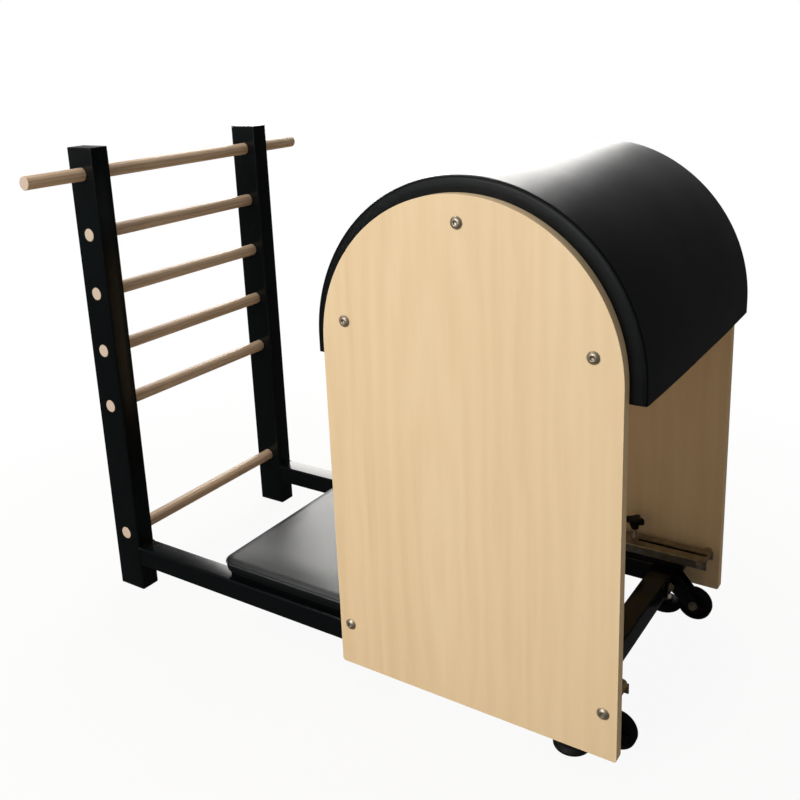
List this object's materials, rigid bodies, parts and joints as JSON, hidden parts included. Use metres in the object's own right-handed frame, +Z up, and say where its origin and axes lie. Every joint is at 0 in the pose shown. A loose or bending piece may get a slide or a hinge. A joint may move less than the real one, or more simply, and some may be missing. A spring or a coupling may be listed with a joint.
{
  "type": "pilates ladder barrel",
  "caption": "Pilates ladder barrel: wooden ladder on a steel frame, foot platform and a padded half barrel between wooden panels that slides and clamps.",
  "frame": {"origin": "on the floor, at the middle of the object's length and width", "axes": "+X from the ladder towards the barrel, +Y to the right of a user who sits on the barrel facing the ladder, +Z up"},
  "size_m": [1.256, 0.82, 1.012],
  "materials": {
    "frame_black": "gloss",
    "cap_black": "satin",
    "rubber_black": "matte",
    "beech": "satin",
    "maple_veneer": "satin",
    "plywood": "matte",
    "board_black": "matte",
    "leatherette": "satin",
    "chrome": "polished",
    "satin_steel": "satin"
  },
  "bodies": {
    "frame": {"upright_right": "frame_black", "upright_cap_right": "cap_black", "upright_foot_right": "rubber_black", "side_rail_right": "frame_black", "rail_end_cap_right": "cap_black", "wheel_fork_right": "frame_black", "wheel_axle_right": "chrome", "wheel_fork_bolt_right": "chrome", "clamp_washer_right": "chrome", "upright_left": "frame_black", "upright_cap_left": "cap_black", "upright_foot_left": "rubber_black", "side_rail_left": "frame_black", "rail_end_cap_left": "cap_black", "wheel_fork_left": "frame_black", "wheel_axle_left": "chrome", "wheel_fork_bolt_left": "chrome", "clamp_washer_left": "chrome", "cross_member": "frame_black", "rung_1_top": "beech", "rung_2": "beech", "rung_3": "beech", "rung_4": "beech", "rung_5": "beech", "rung_6": "beech", "platform_board": "board_black", "platform_cushion": "leatherette"},
    "barrel": {"side_panel_right": "maple_veneer", "panel_bolt_top_right": "chrome", "panel_bolt_front_right": "chrome", "panel_bolt_rear_right": "chrome", "panel_bolt_lower_front_right": "chrome", "panel_bolt_lower_rear_right": "chrome", "slide_channel_right": "satin_steel", "slide_bar_right": "cap_black", "front_runner_right": "cap_black", "side_panel_left": "maple_veneer", "panel_bolt_top_left": "chrome", "panel_bolt_front_left": "chrome", "panel_bolt_rear_left": "chrome", "panel_bolt_lower_front_left": "chrome", "panel_bolt_lower_rear_left": "chrome", "slide_channel_left": "satin_steel", "slide_bar_left": "cap_black", "front_runner_left": "cap_black", "barrel_shell": "plywood", "barrel_pad": "leatherette", "batten_top": "plywood", "batten_front": "plywood", "batten_rear": "plywood"},
    "wheel_right": {"transport_wheel_right": "rubber_black"},
    "foot_right": {"levelling_foot_right": "rubber_black", "levelling_stem_right": "satin_steel"},
    "stud_right": {"clamp_stud_right": "satin_steel"},
    "knob_right": {"clamp_knob_right": "cap_black"},
    "wheel_left": {"transport_wheel_left": "rubber_black"},
    "foot_left": {"levelling_foot_left": "rubber_black", "levelling_stem_left": "satin_steel"},
    "stud_left": {"clamp_stud_left": "satin_steel"},
    "knob_left": {"clamp_knob_left": "cap_black"}
  },
  "joints": [
    {"name": "barrel_slide", "type": "slide", "parent": "frame", "child": "barrel", "axis": [1, 0, 0], "range_m": [-0.138, 0]},
    {"name": "stud_right_rise", "type": "slide", "parent": "frame", "child": "stud_right", "axis": [0, 0, 1], "range_m": [-0.02125, 0]},
    {"name": "knob_right_turn", "type": "hinge", "parent": "stud_right", "child": "knob_right", "pos_m": [0.426, 0.2485, 0.167], "axis": [0, 0, 1], "range_deg": [-6120, 0]},
    {"name": "foot_right_turn", "type": "hinge", "parent": "frame", "child": "foot_right", "pos_m": [0.4975, 0.2485, 0.021], "axis": [0, 0, 1], "continuous": true},
    {"name": "wheel_right_spin", "type": "hinge", "parent": "frame", "child": "wheel_right", "pos_m": [0.568, 0.222, 0.0445], "axis": [0, 1, 0], "continuous": true},
    {"name": "stud_left_rise", "type": "slide", "parent": "frame", "child": "stud_left", "axis": [0, 0, 1], "range_m": [-0.02125, 0]},
    {"name": "knob_left_turn", "type": "hinge", "parent": "stud_left", "child": "knob_left", "pos_m": [0.426, -0.2485, 0.167], "axis": [0, 0, 1], "range_deg": [-6120, 0]},
    {"name": "foot_left_turn", "type": "hinge", "parent": "frame", "child": "foot_left", "pos_m": [0.4975, -0.2485, 0.021], "axis": [0, 0, 1], "continuous": true},
    {"name": "wheel_left_spin", "type": "hinge", "parent": "frame", "child": "wheel_left", "pos_m": [0.568, -0.222, 0.0445], "axis": [0, 1, 0], "continuous": true}
  ],
  "couplings": [
    {"joint": "knob_right_turn", "follows": "stud_right_rise", "rad_per_m": 5026.5},
    {"joint": "knob_left_turn", "follows": "stud_left_rise", "rad_per_m": 5026.5}
  ]
}
